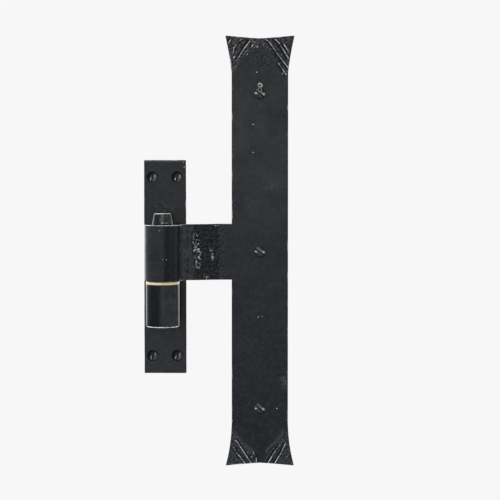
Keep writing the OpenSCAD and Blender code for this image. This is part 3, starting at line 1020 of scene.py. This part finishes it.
def black_paint(name, dark, light, worn, gloss, waves, skin, ior=1.5):
    """Black paint over iron: a glossy skin over soft waves; lighter where the paint is marked
    dull, which is partly real dullness and partly painted light; less shiny where the mark is
    below zero, which is painted shade in grooves and recesses; and bare metal where it is marked
    worn, which is real wear and also painted highlights and glints. gloss is the lowest and
    highest roughness; waves and skin are depths of bumps in millimetres."""
    mat, tree, bsdf = new_material(name)
    broad = noise_node(tree, 60, 3, 0.55)
    small = noise_node(tree, 380, 4, 0.6)
    fine = noise_node(tree, 1300, 2, 0.5)
    dull_and_painted_light = add_node(tree, "Attribute", {}, "Fac", attribute_name="dull_and_painted_light")
    wear_and_highlight = add_node(tree, "Attribute", {}, "Fac", attribute_name="wear_and_highlight")
    colour = mixed(tree, ranged(tree, broad, 0.35, 0.68, 0, 1), dark, light)
    mottle = ranged(tree, small, 0.55, 0.78, 0, 0.4)
    colour = mixed(tree, mottle, colour, tuple(c * 1.6 for c in light))
    colour = mixed(tree, dull_and_painted_light, colour, DULL_AND_LIT_PAINT)
    ragged = math_node(tree, "ADD", wear_and_highlight, ranged(tree, fine, 0.3, 0.6, -0.12, 0.12))
    # Bare metal, for real wear and for painted highlights and glints.
    bare_and_highlit = ranged(tree, ragged, 0.25, 0.75, 0, 1)
    rough = ranged(tree, small, 0.3, 0.7, gloss[0], gloss[1])
    rubbed_and_glints = ranged(tree, bare_and_highlit, 0, 1, 0, 0.14)
    # Painted shade: the shine drops where the mark is below zero.
    painted_shade_shine = ranged(tree, dull_and_painted_light, -1.0, 0.0, 0.08, 0.5)
    uneven = ranged(tree, small, 0.3, 0.7, 0.72, 1.28)
    set_inputs(tree, bsdf, {
        "Base Color": mixed(tree, bare_and_highlit, colour, worn),
        "Metallic": ranged(tree, bare_and_highlit, 0, 1, 0, 0.75),
        "Roughness": math_node(tree, "ADD", rough, rubbed_and_glints),
        "IOR": ior,
        "Specular IOR Level": math_node(tree, "MULTIPLY", painted_shade_shine, uneven),
        "Normal": bump_chain(tree, [(broad, waves), (small, waves * 0.1), (fine, skin)]),
    })
    return mat


def bare_iron():
    """Iron that shows where a chip of paint is missing."""
    mat, tree, bsdf = new_material("bare_iron")
    grain = noise_node(tree, 2500, 3, 0.6)
    set_inputs(tree, bsdf, {
        "Base Color": mixed(tree, grain, (0.55, 0.55, 0.53), (0.9, 0.9, 0.88)),
        "Metallic": 0.3,
        "Roughness": ranged(tree, grain, 0.3, 0.7, 0.3, 0.5),
        "Normal": bump_chain(tree, [(grain, 0.01)]),
    })
    return mat


def brass():
    """Turned brass, lightly tarnished, with fine rings round its rim."""
    mat, tree, bsdf = new_material("brass")
    rings = noise_node(tree, 300, 3, 0.6, (0.25, 0.25, 14))
    stain = noise_node(tree, 260, 4, 0.6)
    tarnish = ranged(tree, stain, 0.35, 0.7, 0, 1)
    set_inputs(tree, bsdf, {
        "Base Color": mixed(tree, tarnish, (1.0, 0.86, 0.56), (0.90, 0.70, 0.38)),
        "Metallic": 0.25,
        "Roughness": ranged(tree, stain, 0.3, 0.7, 0.22, 0.38),
        "Normal": bump_chain(tree, [(rings, 0.02), (stain, 0.01)]),
    })
    return mat


# ---- Floor, lights and camera ----

# How bright the camera sees the floor and what lies behind the hinge.
PALE = 0.93


def stage_floor():
    """A wide, evenly pale floor, well below the hinge, which hangs in the air."""
    size, z = 12.0, -1.1
    mesh = bpy.data.meshes.new("floor")
    mesh.from_pydata([(-size, -size, z), (size, -size, z), (size, size, z), (-size, size, z)],
                     [], [(0, 1, 2, 3)])
    mat, tree, bsdf = new_material("pale_floor")
    set_inputs(tree, bsdf, {
        "Base Color": (0, 0, 0), "Specular IOR Level": 0,
        "Emission Color": (PALE, PALE, PALE), "Emission Strength": 1.0,
    })
    mesh.materials.append(mat)
    floor = add_object("floor", mesh)
    floor.visible_glossy = False


def ramp(tree, value, stops):
    """A smooth curve through (position, height) stops."""
    curve = add_node(tree, "ValToRGB", {"Fac": value}, "Color")
    items = curve.node.color_ramp.elements
    while len(items) < len(stops):
        items.new(0.5)
    for item, (place, height) in zip(items, stops):
        item.position = place
        item.color = (height, height, height, 1)
    return curve


def surroundings():
    """Soft white studio all round: brightest behind the hinge, dim to the right of its front,
    with one narrow brighter panel there, and dimmer and bluer below the horizon. The camera
    itself sees plain pale white."""
    world = bpy.data.worlds.new("studio")
    bpy.context.scene.world = world
    world.use_nodes = True
    tree = world.node_tree
    coords = add_node(tree, "TexCoord", {}, "Generated")
    x, y, z = add_node(tree, "SeparateXYZ", {0: coords}).node.outputs
    turn = math_node(tree, "ARCTAN2", x, math_node(tree, "MULTIPLY", y, -1.0))
    round_about = ramp(tree, ranged(tree, turn, -math.pi, math.pi, 0, 1), [
        (0.0, 1.0), (0.115, 1.0), (0.165, 0.33), (0.28, 0.27), (0.50, 0.31), (0.52, 0.27),
        (0.55, 0.05), (0.615, 0.05), (0.635, 0.15), (0.65, 0.15), (0.67, 0.07), (0.71, 0.09),
        (0.80, 0.23), (0.86, 0.32), (0.915, 1.0), (1.0, 1.0)])
    height = ranged(tree, z, -1, 1, 0, 1)
    upward = ramp(tree, height, [
        (0.0, 0.50), (0.28, 0.45), (0.39, 0.10), (0.43, 0.19), (0.46, 0.345),
        (0.485, 0.56), (0.505, 0.64), (0.53, 0.50), (1.0, 0.66)])
    light = math_node(tree, "MULTIPLY", round_about, upward)
    light = math_node(tree, "MULTIPLY", light, 4.0)
    tint = mixed(tree, ranged(tree, height, 0.41, 0.47, 0, 1), (0.84, 0.98, 1.16), (1, 1, 1))
    seen = add_node(tree, "LightPath", {}, "Is Camera Ray")
    set_inputs(tree, tree.nodes["Background"], {
        "Strength": add_node(tree, "Mix", {"Factor": seen, 2: light, 3: PALE}, 0,
                             data_type="FLOAT"),
        "Color": mixed(tree, seen, tint, (1, 1, 1)),
    })


def softbox(name, place, width, height, power):
    """A large soft light that fills the shadows and leaves no streak on the gloss."""
    aim = Vector((0.03, 0, 0))
    data = bpy.data.lights.new(name, "AREA")
    data.shape, data.size, data.size_y, data.energy = "RECTANGLE", width, height, power
    light = add_object(name, data)
    light.location = place
    light.rotation_euler = (aim - Vector(place)).to_track_quat("-Z", "Y").to_euler()
    light.visible_glossy = False


def photo_camera():
    """Straight in front of the hinge, a little above its middle and looking slightly down."""
    aim = Vector((0.0602, STRAP_FACE * MM, 0.0120))
    distance, rise = 1.4, 0.078
    data = bpy.data.cameras.new("camera")
    data.sensor_width, data.lens = 36.0, 142.2
    camera = add_object("camera", data)
    camera.location = aim + Vector((0, -distance, rise))
    camera.rotation_euler = (aim - camera.location).to_track_quat("-Z", "Y").to_euler()
    bpy.context.scene.camera = camera


# ---- The hinge ----

BLANK = new_material("cutter_blank")[0]
# Each worn colour is bare metal, and also the colour of the painted highlights and glints laid on
# with it.
FORGED = black_paint("forged_black", dark=(0.007, 0.0085, 0.011), light=(0.01, 0.0122, 0.0155),
                     worn=(0.80, 0.81, 0.80), gloss=(0.20, 0.30), waves=0.05, skin=0.0015)
TURNED = black_paint("turned_black", dark=(0.004, 0.005, 0.0065), light=(0.006, 0.007, 0.009),
                     worn=(0.80, 0.78, 0.72), gloss=(0.08, 0.13), waves=0.02, skin=0.001,
                     ior=1.32)
SCREW = black_paint("screw_black", dark=(0.006, 0.0062, 0.0065), light=(0.012, 0.012, 0.012),
                    worn=(0.86, 0.84, 0.75), gloss=(0.18, 0.30), waves=0.01, skin=0.002)
FLAT_SCREW = black_paint("flat_screw_black", dark=(0.005, 0.0055, 0.006),
                         light=(0.009, 0.01, 0.01), worn=(0.80, 0.86, 0.88),
                         gloss=(0.18, 0.30), waves=0.01, skin=0.002)
WELD = black_paint("weld_black", dark=(0.007, 0.0082, 0.01), light=(0.011, 0.013, 0.016),
                   worn=(0.40, 0.40, 0.38), gloss=(0.22, 0.40), waves=0.02, skin=0.008)
CHIP = bare_iron()
BRASS = brass()

plate(FORGED)
boss(TURNED)
pin(TURNED)
washer(BRASS)
eye_and_arm(FORGED)
strap(FORGED)
EYE_FRONT = AXIS.y - EYE_R
paint_chips("leaf_chips", "leaf", [
    (62.5, STRAP_FACE, 101.0, 0.5), (62.4, STRAP_FACE, 81.0, 0.42),
    (66.2, STRAP_FACE, -35.7, 0.35), (69.0, STRAP_FACE, -35.3, 0.26),
    (79.4, STRAP_FACE, -101.2, 0.5), (AXIS.x + 0.5, EYE_FRONT + 0.07, EYE_MID - 4, 0.28),
    (AXIS.x + 3.1, EYE_FRONT + 0.38, EYE_MID - 4, 0.32),
    (AXIS.x - 1.6, EYE_FRONT + 0.1, EYE_MID + 16.2, 0.28)], CHIP)
paint_chips("plate_chips", "pintle", [
    (PLATE_HI.x - 2.0, PLATE_FACE, PLATE_HI.z - 2.2, 0.3),
    (PLATE_HI.x - 1.4, PLATE_FACE, PLATE_HI.z - 5.2, 0.35)], CHIP)
for i, angle in enumerate((-77, -74, -80, -76), 1):
    wood_screw(f"flat_screw_{i}", f"plate_screw_{i}", PLATE_FACE, "pintle",
               math.radians(angle), False, FLAT_SCREW)
for i, angle in enumerate((38, 34, 42), 1):
    wood_screw(f"raised_screw_{i}", f"strap_screw_{i}", STRAP_FACE, "leaf",
               math.radians(angle), True, SCREW)

stage_floor()
surroundings()
softbox("key", (-1.2, -0.6, 0.6), 0.5, 0.9, 8)
softbox("top", (0.05, -0.15, 1.2), 0.9, 0.6, 16)
softbox("right", (1.3, -0.3, 0.3), 0.4, 0.9, 5)
photo_camera()
bpy.context.scene.view_settings.view_transform = "Standard"
